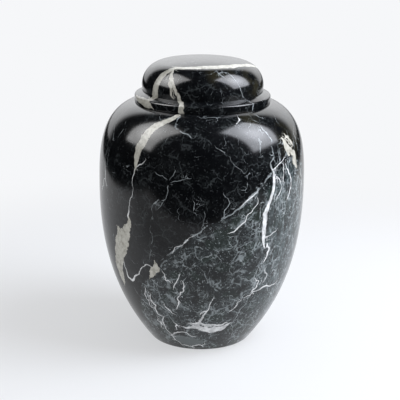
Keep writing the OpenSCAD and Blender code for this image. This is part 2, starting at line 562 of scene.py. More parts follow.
@dataclass(frozen=True)
class PolishedBlackMarble:
    """Black marble, turned and polished.

    The polish gives the eye a mirror-clear dark gloss. Under it lie calcite veins: broad cream
    seams, white fractures, and a fine grey net where the rock was once crushed and healed. Fields
    that end in _mm are the sizes of the patterns in real millimetres. Many real crumbs and cracks are
    finer than the ones drawn here, which are kept coarse enough to show.
    """

    name: str = "black_marble_polished"
    ior: float = 1.5
    black: str = "#07080a"
    black_worn: str = "#0c0d0f"
    crushed_dark: str = "#090b0c"
    crushed_light: str = "#1d2224"
    crushed_green: str = "#16201d"
    pale: str = "#3f494b"
    olive: str = "#211f16"
    net: str = "#727b7d"
    fleck: str = "#949c9e"
    fine: str = "#959da0"
    hair: str = "#a6adb0"
    white: str = "#dbdcdd"
    cream: str = "#b9b7ae"
    cream_shade: str = "#8f8d83"
    grey: str = "#565c5d"
    net_cell_mm: float = 4.5
    net_line_mm: float = 0.4
    wide_cell_mm: float = 14.0
    wide_line_mm: float = 0.6
    clast_mm: float = 11.0
    cloud_mm: float = 30.0
    patch_mm: float = 13.0
    gate_mm: float = 11.0
    break_mm: float = 5.0
    curl_mm: float = 4.0
    shade_mm: float = 4.0
    pale_mm: float = 3.0
    fleck_mm: float = 1.8
    warp_mm: float = 8.0
    crinkle_mm: float = 2.6
    roughness_polished: float = 0.13
    roughness_vein: float = 0.18

    def material(self) -> bpy.types.Material:
        """Builds the material.

        Returns:
            A node material that reads the piece's vein attributes and its own coordinates.
        """
        material = bpy.data.materials.new(self.name)
        material.use_nodes = True
        material.node_tree.nodes.clear()
        node = partial(add, material.node_tree)
        place = node("TexCoord", out="Object")
        mm = node("VectorMath", {0: place, "Scale": 1 / MM}, operation="SCALE")
        cloud = node("TexNoise", {"Vector": mm, "Scale": 1 / self.cloud_mm, "Detail": 3})
        patchy = node("TexNoise", {"Vector": mm, "W": 1, "Scale": 1 / self.patch_mm, "Detail": 3}, **SEEDED)
        # Warped coordinates, so that no crack runs straight.
        stray = node("TexNoise", {"Vector": mm, "Scale": 1 / self.warp_mm, "Detail": 3}, out="Color")
        crinkle = node("TexNoise", {"Vector": mm, "Scale": 1 / self.crinkle_mm, "Detail": 2}, out="Color")
        bent = node("VectorMath", (stray, [self.warp_mm] * 3, mm), operation="MULTIPLY_ADD")
        bent = node("VectorMath", (crinkle, [self.crinkle_mm] * 3, bent), operation="MULTIPLY_ADD")

        crushed = node("Attribute", out="Fac", attribute_name="crushed")
        crushed = node("Math", (patchy, 0.5, crushed), operation="MULTIPLY_ADD")
        crushed = node("MapRange", (crushed, 0.65, 0.85), **SMOOTH)
        stone = self._ground(node, mm, bent, cloud, patchy, crushed)
        stone = self._cracks(node, mm, bent, patchy, crushed, stone)

        # The veins, one kind over the other: a grey lump, hairlines, white fractures, cream seams.
        grey = self._vein(node, mm, Layer.GREY, 0.5, 5.0, 0.12)
        stone = node("Mix", {0: grey, 6: stone, 7: self.grey}, **COLOURS)
        broken = node("TexNoise", {"Vector": mm, "W": 2, "Scale": 1 / self.break_mm, "Detail": 2}, **SEEDED)
        broken = node("MapRange", (broken, 0.35, 0.6), **SMOOTH)
        hair = node("Math", (self._vein(node, mm, Layer.HAIR, 0.8, 2.2, 0.5), broken), operation="MULTIPLY")
        share = node("Math", (hair, 0.6), operation="MULTIPLY")
        stone = node("Mix", {0: share, 6: stone, 7: self.hair}, **COLOURS)
        white = self._vein(node, mm, Layer.WHITE, 0.9, 2.4, 0.35)
        worn = node("MapRange", (broken, 0, 1, 0.6, 1))
        share = node("Math", (white, worn), operation="MULTIPLY")
        stone = node("Mix", {0: share, 6: stone, 7: self.white}, **COLOURS)
        cream = self._vein(node, mm, Layer.CREAM, 0.9, 3.5, 0.12)
        streak = node("TexNoise", {"Vector": mm, "Scale": 1 / self.shade_mm, "Detail": 4, "Roughness": 0.7})
        streak = node("MapRange", (streak, 0.4, 0.68), **SMOOTH)
        tone = node("Mix", {0: streak, 6: self.cream, 7: self.cream_shade}, **COLOURS)
        stone = node("Mix", {0: cream, 6: stone, 7: tone}, **COLOURS)

        # Calcite takes a slightly duller polish than the black stone, whose own gloss wanders a little.
        veined = node("Math", (white, hair), operation="MAXIMUM")
        veined = node("Math", (cream, veined), operation="MAXIMUM")
        rough = node("MapRange", (veined, 0, 1, self.roughness_polished, self.roughness_vein))
        rough = node("Math", (cloud, 0.05, rough), operation="MULTIPLY_ADD")
        rough = node("Math", (rough, 0.025), operation="SUBTRACT")
        skin = node("BsdfPrincipled", {"Base Color": stone, "Roughness": rough, "IOR": self.ior})
        node("OutputMaterial", {"Surface": skin})
        return material

    def _ground(
        self, node: Callable, mm: Socket, bent: Socket,
        cloud: Socket, patchy: Socket, crushed: Socket,
    ) -> Socket:
        """The stone under the veins: near-black, slate where it was crushed, olive where it is stained.

        Args:
            node: adds a node to the material.
            mm, bent: the place on the piece in mm, plain and warped.
            cloud, patchy: broad and small noises.
            crushed: one where the stone was crushed.

        Returns:
            The colour.
        """
        share = node("MapRange", (cloud, 0.4, 0.7), **SMOOTH)
        black = node("Mix", {0: share, 6: self.black, 7: self.black_worn}, **COLOURS)
        lumps = node("TexVoronoi", {"Vector": bent, "Scale": 1 / self.clast_mm}, out="Color")
        lumps = node("SeparateColor", (lumps,)).node.outputs
        slate = node("Mix", {0: lumps[0], 6: self.crushed_dark, 7: self.crushed_light}, **COLOURS)
        share = node("MapRange", (lumps[1], 0.72, 0.8), **SMOOTH)
        slate = node("Mix", {0: share, 6: slate, 7: self.crushed_green}, **COLOURS)
        share = node("Attribute", out="Fac", attribute_name="pale")
        upright = node("VectorMath", (mm, (1, 1, 0.18)), operation="MULTIPLY")
        drawn = {"Vector": upright, "Scale": 1 / self.pale_mm, "Detail": 4, "Roughness": 0.6}
        streaks = node("TexNoise", drawn)
        streaks = node("MapRange", (streaks, 0.36, 0.66), **SMOOTH)
        share = node("Math", (share, streaks), operation="MULTIPLY")
        slate = node("Mix", {0: share, 6: slate, 7: self.pale}, **COLOURS)
        ground = node("Mix", {0: crushed, 6: black, 7: slate}, **COLOURS)
        share = node("Attribute", out="Fac", attribute_name="olive")
        patches = node("MapRange", (patchy, 0.35, 0.6), **SMOOTH)
        share = node("Math", (share, patches), operation="MULTIPLY")
        return node("Mix", {0: share, 6: ground, 7: self.olive}, **COLOURS)

    def _cracks(
        self, node: Callable, mm: Socket, bent: Socket,
        patchy: Socket, crushed: Socket, stone: Socket,
    ) -> Socket:
        """The healed cracks and crumbs of the crushed rock, laid over its ground.

        The cracks are drawn near half a millimetre wide, so that they show at arm's length; many of
        the real ones are finer.

        Args:
            node: adds a node to the material.
            mm, bent: the place on the piece in mm, plain and warped.
            patchy: a small noise.
            crushed: one where the stone was crushed.
            stone: the ground's colour.

        Returns:
            The colour.
        """
        amount = node("MapRange", (crushed, 0, 1, 0.12, 1))
        curl = node("TexNoise", {"Vector": bent, "Scale": 1 / self.curl_mm, "Detail": 3, "Roughness": 0.6})
        curl = node("Math", (curl, 0.5), operation="SUBTRACT")
        curl = node("Math", (curl,), operation="ABSOLUTE")
        curl = node("MapRange", (curl, 0.004, 0.025, 1, 0), **SMOOTH)
        where = node("MapRange", (patchy, 0.4, 0.56, 0, 0.12), **SMOOTH)
        share = node("Math", (curl, where), operation="MULTIPLY")
        share = node("Math", (share, amount), operation="MULTIPLY")
        stone = node("Mix", {0: share, 6: stone, 7: self.net}, **COLOURS)

        flecks = node("TexNoise", {"Vector": bent, "W": 5, "Scale": 1 / self.fleck_mm, "Detail": 2}, **SEEDED)
        flecks = node("MapRange", (flecks, 0.6, 0.66), **SMOOTH)
        where = node("MapRange", (patchy, 0.36, 0.52, 0.2, 0.62), **SMOOTH)
        share = node("Math", (flecks, where), operation="MULTIPLY")
        share = node("Math", (share, amount), operation="MULTIPLY")
        stone = node("Mix", {0: share, 6: stone, 7: self.fleck}, **COLOURS)

        for cell, line, seed, strength, colour in (
            (self.net_cell_mm, self.net_line_mm, 3, 0.32, self.net),
            (self.wide_cell_mm, self.wide_line_mm, 4, 0.5, self.fine),
        ):
            cells = {"Vector": bent, "W": seed, "Scale": 1 / cell}
            line_at = node("TexVoronoi", cells, voronoi_dimensions="4D", feature="DISTANCE_TO_EDGE")
            lines = node("MapRange", (line_at, line * 0.3 / cell, line / cell, strength, 0), **SMOOTH)
            gaps = {"Vector": mm, "W": seed, "Scale": 1 / self.gate_mm, "Detail": 2}
            gate = node("TexNoise", gaps, **SEEDED)
            gate = node("MapRange", (gate, 0.43, 0.57), **SMOOTH)
            share = node("Math", (lines, gate), operation="MULTIPLY")
            share = node("Math", (share, amount), operation="MULTIPLY")
            stone = node("Mix", {0: share, 6: stone, 7: colour}, **COLOURS)
        return stone

    def _vein(
        self, node: Callable, mm: Socket, layer: Layer, ragged: float, size: float, soft: float,
    ) -> Socket:
        """Where the veins of a layer are.

        Args:
            node: adds a node to the material.
            mm: the place on the piece in mm.
            layer: which veins.
            ragged: how far their edges stray, as a share of their half-width.
            size: how long the strays are, in mm.
            soft: the share of their half-width over which they fade.

        Returns:
            One inside them, and nothing outside.
        """
        apart = node("Attribute", out="Fac", attribute_name=layer.value)
        apart = node("Math", (apart,), operation="ABSOLUTE")
        wobble = node(
            "TexNoise", {"Vector": mm, "W": 9, "Scale": 1 / size, "Detail": 3, "Roughness": 0.65}, **SEEDED)
        apart = node("Math", (wobble, ragged, apart), operation="MULTIPLY_ADD")
        edge = 1 + ragged / 2
        return node("MapRange", (apart, edge - soft, edge, 1, 0), **SMOOTH)


# ---------------------------------------------------------------- the urn's two pieces

@dataclass
class UrnBody:
    """The hollow body. Height and greatest width come from the frame, the rest are its own sizes in mm."""

    node: str = "urn_body"
    belly_z: float = 150
    foot_d: float = 96.4
    foot_flare: float = 51
    foot_edge_r: float = 2
    flank_low_fullness: float = 0.34
    flank_high_fullness: float = 0.4
    shoulder_low_fullness: float = 0.385
    shoulder_high_fullness: float = 1
    shoulder_slope: float = 17
    wall: float = 12.5
    floor_t: float = 14.5
    floor_flat_d: float = 40
    floor_reach: float = 36
    hollow_fullness: float = 0.52
    mouth_d: float = 88
    mouth_edge_r: float = 1
    seat_d: float = 128.4
    columns: int = 360
    shown_spacing: float = 1.3
    hidden_spacing: float = 7
    crushed_edge: float = 8

    def __post_init__(self) -> None:
        """Reads the overall sizes from the frame."""
        low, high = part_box(self.node)
        self.height = (high.z - low.z) / MM
        self.belly_r = (high.x - low.x) / MM / 2
        self.foot_z = low.z / MM

    def _shoulder(self, start: tuple, end: tuple) -> np.ndarray:
        """The curve from the belly in to the seat, outside or inside the wall.

        Args:
            start, end: the curve's ends, as (radius, height) in mm.

        Returns:
            The curve's points.
        """
        reach = (start[0] - end[0]) * self.shoulder_high_fullness
        low = (start[0], start[1] + (end[1] - start[1]) * self.shoulder_low_fullness)
        high = (end[0] + reach, end[1] - reach * math.tan(math.radians(self.shoulder_slope)))
        return cubic(start, low, high, end)

    def outside(self) -> np.ndarray:
        """The shown outline.

        Returns:
            Its points, from the foot's edge up to the seat of the lid.
        """
        foot_r, seat_r = self.foot_d / 2, self.seat_d / 2
        flare = math.radians(self.foot_flare)
        pull = math.hypot(self.belly_r - foot_r, self.belly_z) * self.flank_low_fullness
        toe = (foot_r + pull * math.cos(flare), pull * math.sin(flare))
        flank = cubic(
            (foot_r, 0), toe, (self.belly_r, self.belly_z * (1 - self.flank_high_fullness)),
            (self.belly_r, self.belly_z))
        edge = rounded((0, 0), (foot_r, 0), toe, self.foot_edge_r, 5)
        above = flank[flank[:, 1] > edge[-1, 1] + 0.5]
        shoulder = self._shoulder((self.belly_r, self.belly_z), (seat_r, self.height))
        curve = thinned(np.concatenate([edge[-1:], above, shoulder[1:]]), self.shown_spacing)
        return np.concatenate([edge[:-1], curve]) + (0, self.foot_z)

    def inside(self) -> np.ndarray:
        """The hidden outline.

        Returns:
            Its points, from the seat in over the mouth, and down through the hollow.
        """
        seat_r, mouth_r = self.seat_d / 2, self.mouth_d / 2
        slope = math.radians(self.shoulder_slope)
        neck = (seat_r - self.wall * math.sin(slope), self.height - self.wall * math.cos(slope))
        inner_belly = (self.belly_r - self.wall, self.belly_z)
        lip = rounded(
            (seat_r, self.height), (mouth_r, self.height), (mouth_r, neck[1]), self.mouth_edge_r, 4)
        shoulder = self._shoulder(inner_belly, neck)[::-1]
        depth = self.belly_z - self.floor_t
        bowl = cubic(
            (self.floor_flat_d / 2, self.floor_t), (self.floor_flat_d / 2 + self.floor_reach, self.floor_t),
            (inner_belly[0], self.belly_z - depth * self.hollow_fullness), inner_belly)[::-1]
        hollow = thinned(np.concatenate([shoulder, bowl[1:]]), self.hidden_spacing)
        outline = np.concatenate([lip, [(mouth_r, neck[1])], hollow, [(0, self.floor_t)]])
        outline = evened(np.concatenate([[(seat_r, self.height)], outline]), self.hidden_spacing)
        return outline[1:] + (0, self.foot_z)

    def veins(self, face: Face, rng: np.random.Generator) -> list[Vein]:
        """The veins of the body: the great ones listed, and small ones by chance.

        Args:
            face: the body's shown side.
            rng: where chance comes from.

        Returns:
            All of them, in the order in which they are drawn.
        """
        cream, white, hair = Layer.CREAM, Layer.WHITE, Layer.HAIR
        great = [
            # Cream seam down the left shoulder, thinning to a white thread and widening on the flank.
            Vein(cream, ((-19, 252, 5), (-25, 243, 6), (-32, 234, 8), (-35, 225, 9), (-37, 215, 8.5),
                         (-38, 206, 6), (-38, 199, 3.5), (-38, 194, 1)), 0.05),
            Vein(white, ((-38, 197, 1.3), (-39, 189, 0.8), (-40, 182, 0.3), (-39, 176, 0.3),
                         (-41, 167, 0.4), (-42, 158, 0.9), (-43, 150, 2), (-43, 140, 3)), 0.1),
            Vein(white, ((-38, 196, 0.7), (-36, 199, 1.2), (-34, 200, 1), (-32, 204, 0.5))),
            Vein(cream, ((-42, 147, 3), (-43, 140, 7), (-46, 132, 13), (-49, 124, 17), (-52, 116, 17),
                         (-55, 108, 15), (-57, 98, 13), (-58, 88, 11), (-58, 80, 8), (-58, 75, 3)), 0.08),
            Vein(cream, ((-52, 134, 3), (-51, 127, 10), (-53, 120, 12)), 0.08),
            Vein(white, ((-53, 112, 0.5), (-51, 102, 0.9), (-50, 93, 1.2), (-50, 86, 2), (-46, 84, 3.2),
                         (-43, 90, 1.6), (-37, 100, 0.9), (-33, 106, 0.9), (-30, 106, 1.3))),
            Vein(cream, ((-26, 109, 3), (-26, 104, 8), (-29, 98, 6), (-31, 93, 1)), 0.1),
            # White fracture down the right, the brightest, with its side threads.
            Vein(hair, ((38, 242, 0.6), (40, 233, 1.4), (42, 227, 1.8), (44, 220, 1.4), (43, 212, 1.2),
                        (42, 204, 1), (40, 198, 1.1), (41, 194, 1.6)), 0.12),
            Vein(hair, ((37, 234, 0.8), (35, 226, 1.8), (35, 219, 1.8), (34, 213, 0.8)), 0.05),
            Vein(white, ((41, 195, 1.5), (42, 187, 3), (42, 180, 3.8), (40, 170, 3.4), (38, 163, 4.4),
                         (36, 156, 5.6), (36, 146, 5.4), (36, 137, 4.8), (36, 130, 3.2),
                         (37, 124, 1.6)), 0.05),
            Vein(white, ((39, 127, 1), (41, 121, 2.4), (40, 114, 2.2), (38, 108, 0.8))),
            Vein(white, ((37, 133, 1), (41, 134, 1), (45, 137, 0.6))),
            Vein(white, ((43, 190, 0.8), (46, 185, 1.2), (47, 180, 0.4))),
            Vein(hair, ((33, 164, 0.6), (33, 150, 1), (33, 138, 0.8), (34, 128, 0.5))),
            Vein(hair, ((38, 112, 0.8), (37, 103, 0.9), (36, 94, 1), (35, 86, 1), (34, 79, 1.3),
                        (32, 72, 0.8), (31, 63, 0.7), (28, 55, 1), (26, 47, 1), (25, 41, 0.6))),
            Vein(hair, ((37, 110, 0.7), (34, 101, 0.8), (33, 93, 1), (34, 86, 1.2), (32, 80, 0.7))),
            Vein(hair, ((34, 86, 1), (30, 91, 1.1), (27, 94, 0.9), (24, 95, 0.5))),
            Vein(white, ((33, 79, 0.8), (38, 78, 1.2), (42, 80, 2.2), (47, 79, 1.3), (52, 78, 1.5),
                         (56, 80, 0.6))),
            Vein(hair, ((44, 84, 0.6), (46, 79, 1.3), (49, 72, 0.8))),
            Vein(hair, ((46, 124, 0.8), (43, 113, 1.4), (46, 105, 1.7), (48, 96, 1), (50, 84, 1.3),
                        (52, 74, 0.6)), 0.18),
            # The healed fault across the front, bluish white.
            Vein(hair, ((41, 193, 1.4), (37, 188, 1.8), (34, 182, 2.2), (30, 177, 2.2), (27, 173, 3.2),
                        (24, 170, 2.8), (21, 165, 2), (17, 161, 1.2)), 0.08),
            Vein(hair, ((18, 162, 1.2), (13, 157, 1), (7, 152, 1), (2, 148, 1.2), (-4, 140, 1.4),
                        (-9, 133, 1.9), (-14, 126, 2), (-18, 120, 1.7), (-22, 114, 1)), 0.08),
            Vein(white, ((31, 178, 0.4), (28, 174, 1.1), (25, 171, 1.3), (21, 166, 0.5)), 0.1),
            Vein(white, ((-4, 140, 0.4), (-9, 133, 0.7), (-15, 124, 0.6)), 0.1),
            Vein(white, ((31, 171, 0.4), (30, 165, 0.7), (27, 159, 0.9), (24, 152, 0.9), (20, 147, 1.5),
                         (15, 142, 0.8)), 0.12),
            Vein(hair, ((34, 151, 0.7), (30, 149, 0.8), (25, 148, 0.6))),
            # Seam across the foot, and the fracture that feeds it.
            Vein(white, ((-13, 38, 1.2), (-8, 38, 3.5), (-2, 39, 6), (3, 36, 7.5), (9, 34, 9.5),
                         (14, 35, 8.5), (19, 38, 5.5), (23, 42, 1.2)), 0.12),
            Vein(white, ((-8, 44, 0.6), (-1, 45, 1.6), (6, 42, 1.8), (13, 41, 1.4), (20, 44, 0.6)), 0.15),
            Vein(Layer.GREY, ((-24, 20, 6), (-18, 18, 14), (-10, 15, 17), (-3, 14, 13),
                              (2, 15, 5)), 0.08),
            Vein(white, ((-25, 14, 0.6), (-18, 7, 1), (-8, 5, 1.2), (2, 8, 1), (5, 13, 0.6)), 0.15),
            Vein(white, ((-26, 22, 1), (-22, 27, 1.6), (-17, 29, 1.2), (-10, 28, 0.8),
                         (-4, 24, 0.6)), 0.15),
            Vein(white, ((8, 76, 0.6), (6, 68, 0.8), (5, 61, 1), (2, 55, 1.6), (0, 48, 2.9),
                         (-1, 41, 1.3))),
            Vein(white, ((5, 61, 0.7), (2, 60, 0.9), (0, 57, 0.7))),
            Vein(hair, ((-18, 9, 0.6), (-11, 4, 1.1), (0, 3, 1.2), (9, 6, 0.8))),
            # Cream lumps high on the right.
            Vein(cream, ((52, 220, 0.6), (54, 216, 4), (55, 212, 7), (56, 208, 7), (57, 203, 1.5)), 0.25),
            Vein(cream, ((58, 209, 0.8), (60, 204, 5), (62, 199, 7), (63, 194, 5.5),
                         (64, 189, 0.8)), 0.25),
            Vein(cream, ((57, 223, 0.6), (59, 219, 3), (61, 215, 3.5), (63, 210, 0.8)), 0.25),
            Vein(hair, ((50, 216, 0.8), (53, 212, 2), (55, 206, 2.2), (58, 200, 1.2)), 0.25),
            Vein(hair, ((60, 200, 0.8), (63, 194, 2), (62, 188, 1.5), (65, 183, 0.8)), 0.25),
            Vein(hair, ((53, 205, 0.6), (56, 197, 1.5), (61, 193, 1.2), (66, 186, 0.8)), 0.25),
            Vein(hair, ((53, 219, 0.8), (54, 216, 1.8), (56, 214, 0.8))),
            Vein(white, ((52, 197, 0.5), (54, 191, 1.3), (56, 184, 1.5), (57, 176, 1.3), (55, 168, 0.9),
                         (53, 163, 0.5))),
            Vein(white, ((50, 197, 0.5), (50, 189, 0.9), (50, 179, 0.5))),
            Vein(white, ((41, 194, 0.6), (45, 197, 0.9), (49, 200, 0.8), (52, 203, 0.6))),
            Vein(white, ((48, 177, 0.6), (46, 171, 1.2), (44, 167, 0.5))),
            Vein(hair, ((54, 165, 0.6), (52, 157, 1.3), (50, 152, 1.6), (49, 148, 0.6)), 0.2),
        ]
        small = [
            # Threads under the lid and across the front.
            Vein(hair, ((-17, 250, 1.6), (-18, 243, 1.2), (-17, 237, 1.7), (-13, 233, 1),
                        (-7, 229, 1.3))),
            Vein(hair, ((-23, 232, 0.6), (-20, 229, 1.2), (-21, 224, 0.8))),
            Vein(hair, ((-2, 251, 0.5), (6, 251, 0.7), (12, 251, 0.6))),
            Vein(white, ((27, 249, 0.8), (27, 245, 1.2), (23, 241, 0.7))),
            Vein(hair, ((36, 251, 0.8), (43, 249, 0.8), (46, 243, 0.7))),
            Vein(hair, ((16, 207, 0.5), (18, 202, 0.7), (22, 197, 0.8))),
            Vein(hair, ((25, 204, 0.6), (27, 199, 1), (30, 191, 0.8))),
            Vein(hair, ((8, 219, 0.5), (11, 216, 0.7), (15, 211, 0.5))),
            Vein(hair, ((27, 202, 0.5), (24, 193, 0.5), (24, 181, 0.6))),
            Vein(hair, ((12, 177, 0.6), (15, 170, 0.8), (12, 162, 1), (12, 157, 0.8))),
            Vein(hair, ((-14, 199, 0.6), (-17, 190, 1), (-18, 183, 1), (-18, 177, 0.7), (-19, 172, 0.8),
                        (-23, 171, 0.9), (-25, 168, 0.8), (-28, 164, 0.6))),
            Vein(hair, ((-17, 187, 0.8), (-13, 189, 0.6), (-9, 191, 0.6), (-6, 192, 0.5))),
            Vein(hair, ((-25, 168, 0.6), (-27, 161, 0.7), (-27, 153, 0.7))),
            Vein(hair, ((-19, 172, 0.6), (-21, 168, 0.7), (-23, 163, 0.6))),
            Vein(hair, ((-17, 190, 0.5), (-21, 193, 0.5), (-25, 195, 0.5))),
            Vein(hair, ((-4, 172, 0.4), (-4, 166, 0.8), (-3, 161, 0.5))),
            Vein(hair, ((-28, 144, 0.4), (-27, 131, 0.5), (-29, 118, 0.5), (-30, 109, 0.5))),
            # Far left, near the edge of sight.
            Vein(white, ((-68, 194, 0.5), (-66, 182, 1.2), (-64, 170, 0.7))),
            Vein(white, ((-66, 180, 0.5), (-69, 170, 1.2), (-72, 163, 0.7))),
            Vein(hair, ((-69, 232, 0.5), (-66, 224, 0.8), (-62, 214, 0.5))),
            Vein(hair, ((-57, 233, 0.6), (-55, 226, 0.8), (-57, 218, 0.5))),
            Vein(hair, ((-40, 196, 0.5), (-43, 197, 0.8), (-45, 194, 0.5))),
            # Crushed stone of the lower left.
            Vein(hair, ((-26, 90, 0.6), (-27, 80, 0.8), (-26, 72, 0.9), (-29, 64, 1.2), (-32, 66, 0.8))),
            Vein(white, ((-36, 80, 0.7), (-38, 72, 0.9), (-36, 63, 0.9), (-32, 55, 1.2),
                         (-29, 49, 0.8)), 0.14),
            Vein(hair, ((-36, 79, 0.6), (-31, 70, 0.8), (-29, 64, 1), (-26, 60, 1), (-22, 56, 1))),
            Vein(white, ((-27, 48, 0.7), (-29, 40, 1), (-29, 30, 0.9), (-25, 20, 1), (-24, 15, 0.7))),
            Vein(hair, ((-42, 60, 0.8), (-44, 50, 0.8), (-46, 38, 0.7), (-43, 27, 0.7))),
            Vein(hair, ((-46, 74, 0.5), (-42, 66, 0.6), (-39, 60, 0.5))),
            Vein(white, ((-33, 74, 0.5), (-34, 68, 1.3), (-31, 62, 1.5), (-33, 56, 0.6)), 0.2),
            Vein(white, ((-24, 66, 0.5), (-22, 60, 1.2), (-19, 55, 0.6)), 0.2),
            Vein(white, ((-33, 45, 0.5), (-31, 38, 1.2), (-33, 31, 0.6)), 0.2),
            Vein(white, ((-20, 44, 0.5), (-17, 39, 1.4), (-19, 34, 0.6)), 0.2),
            Vein(white, ((-22, 102, 0.5), (-21, 97, 1.3), (-18, 92, 0.6)), 0.2),
            Vein(white, ((34, 92, 0.5), (36, 84, 1.3), (33, 78, 1.5), (29, 72, 0.5)), 0.2),
            Vein(white, ((40, 100, 0.5), (43, 93, 1), (41, 86, 0.5)), 0.2),
            Vein(white, ((20, 58, 0.5), (24, 64, 1), (27, 72, 0.5)), 0.2),
            Vein(white, ((-12, 101, 0.7), (-14, 93, 1), (-16, 86, 0.8))),
            Vein(white, ((-10, 93, 0.7), (-10, 84, 1.2), (-13, 77, 1), (-14, 68, 1),
                         (-16, 61, 0.7)), 0.16),
            Vein(hair, ((-17, 81, 0.6), (-13, 77, 0.8))),
            Vein(hair, ((-3, 114, 0.6), (-6, 109, 0.8), (-6, 102, 0.7), (-10, 94, 0.8))),
            Vein(hair, ((0, 108, 0.6), (3, 99, 0.7), (4, 91, 0.5))),
            Vein(hair, ((0, 114, 0.4), (3, 120, 0.8), (6, 123, 1.6), (9, 120, 0.7), (12, 113, 0.4)), 0.2),
            Vein(hair, ((28, 115, 0.6), (25, 110, 0.8), (23, 106, 0.6), (19, 102, 0.6))),
            Vein(hair, ((2, 161, 0.5), (1, 151, 0.6), (0, 143, 0.6))),
            Vein(hair, ((71, 154, 0.6), (68, 142, 0.8), (64, 130, 0.6))),
            Vein(white, ((70, 185, 0.7), (72, 168, 1.2), (71, 154, 0.8))),
            Vein(hair, ((61, 121, 0.6), (62, 98, 0.8), (63, 78, 0.6))),
            Vein(hair, ((24, 50, 0.6), (25, 38, 0.8), (29, 25, 0.7), (26, 12, 0.6))),
            Vein(hair, ((8, 82, 0.4), (9, 76, 0.5), (6, 72, 0.4))),
        ]
        crushed_here = self.crushed_below
        cracks = [vein for vein in great + small + self.back_veins() if vein.layer in (white, hair)]
        short_white = [vein for vein in small if vein.layer is white]
        by_chance = splinters(face, cracks, rng, every=12, width=0.5)
        by_chance += splinters(face, short_white, rng, every=6, width=1.1)
        # Crumbs in the crushed stone, and hairs in the sound stone above it.
        by_chance += scattered(face, 900, rng, (2, 9), 0.9, lambda d, a: a < crushed_here(d))
        by_chance += scattered(face, 400, rng, (3, 14), 0.4, lambda d, a: a >= crushed_here(d))
        # Upright streaks on the far right and the far left.
        far_right, far_left = partial(within, 46, 88, 25, 205), partial(within, -85, -58, 100, 225)
        by_chance += scattered(face, 1400, rng, (6, 22), 1.1, far_right, lean=0.3)
        by_chance += scattered(face, 500, rng, (6, 22), 0.6, far_left, lean=0.3)
        return great + small + by_chance + self.back_veins()

    def back_veins(self) -> list[Vein]:
        """The plainer veins of the back, made up to carry on those of the front.

        Returns:
            The veins, in the order in which they are drawn.
        """
        cream, white, hair = Layer.CREAM, Layer.WHITE, Layer.HAIR
        return [
            Vein(cream, ((-100, 250, 3), (-108, 236, 5), (-112, 222, 4), (-118, 205, 2),
                         (-121, 196, 1)), 0.07),
            Vein(white, ((-121, 197, 0.9), (-124, 180, 0.8), (-122, 160, 1.2), (-128, 140, 0.9),
                         (-126, 118, 0.7))),
            Vein(cream, ((-150, 92, 2), (-145, 84, 8), (-138, 74, 12), (-134, 62, 8),
                         (-133, 54, 2)), 0.1),
            Vein(white, ((-134, 56, 1.3), (-130, 44, 0.9), (-131, 28, 0.7), (-126, 10, 0.7))),
            Vein(white, ((118, 240, 0.7), (122, 222, 2.2), (120, 200, 2.9), (126, 182, 1.6),
                         (124, 160, 2.5), (130, 138, 1.3), (128, 118, 0.7))),
            Vein(white, ((180, 200, 0.7), (166, 188, 1.3), (150, 176, 2.2), (136, 160, 1.3),
                         (120, 150, 0.9), (104, 146, 0.7)), 0.1),
            Vein(hair, ((-180, 200, 0.7), (-168, 196, 0.7), (-155, 186, 0.6), (-140, 182, 0.6))),
            Vein(cream, ((96, 60, 1.5), (104, 54, 6), (112, 50, 8), (119, 44, 3)), 0.12),
            Vein(hair, ((150, 60, 0.6), (158, 80, 0.8), (154, 104, 0.7), (162, 122, 0.6))),
            Vein(hair, ((-90, 130, 0.6), (-96, 112, 0.8), (-92, 90, 0.7), (-99, 70, 0.6))),
            Vein(white, ((84, 150, 0.7), (88, 130, 1.2), (85, 108, 0.9), (90, 90, 0.7))),
        ]

    def crushed_below(self, degrees: float) -> float:
        """How far up the outline the crushed rock reaches: the line of the fault.

        Args:
            degrees: the place round the body.

        Returns:
            The reach in mm along the outline.
        """
        round_at = (-180, -140, -100, -66, -50, -38, -28, -18, 0, 20, 41, 60, 80, 110, 140, 180)
        reach_to = (120, 70, 30, 20, 40, 84, 96, 120, 145, 165, 193, 200, 185, 160, 170, 120)
        return float(np.interp((degrees + 180) % 360 - 180, round_at, reach_to))

    def make(self, finish: bpy.types.Material) -> bpy.types.Object:
        """Builds the body, draws its veins and dresses it.

        Args:
            finish: the stone.

        Returns:
            The piece, riding on the urn.
        """
        outside = self.outside()
        foot = evened(np.array([(0, outside[0, 1]), outside[0]]), self.hidden_spacing)[:-1]
        turned = TurnedPiece("urn_body_stone", foot, outside, self.inside(), self.columns)
        piece = turned.build()
        face, rng = Face(outside), np.random.default_rng(11)
        turned.draw_veins(piece, face, self.veins(face, rng), rng)

        degrees = np.degrees(np.arctan2(turned.places[:, 0], -turned.places[:, 1]))
        edge = np.array([self.crushed_below(d) for d in np.arange(-180, 181)])
        edge = np.interp(degrees, np.arange(-180, 181), edge)
        along = np.interp(turned.places[:, 2], outside[:, 1], face.run)
        store(piece, "crushed", 0.5 + (edge - along) / self.crushed_edge)
        olive = (Stain(62, 214, 26), Stain(72, 190, 22), Stain(36, 246, 14))
        store(piece, "olive", stained(turned.places, face, olive))
        pale = (
            Stain(60, 160, 46), Stain(58, 120, 46), Stain(54, 80, 40), Stain(80, 140, 50), Stain(64, 60, 36),
        )
        store(piece, "pale", stained(turned.places, face, pale))
        piece.data.materials.append(finish)
        return settled(piece, self.node)


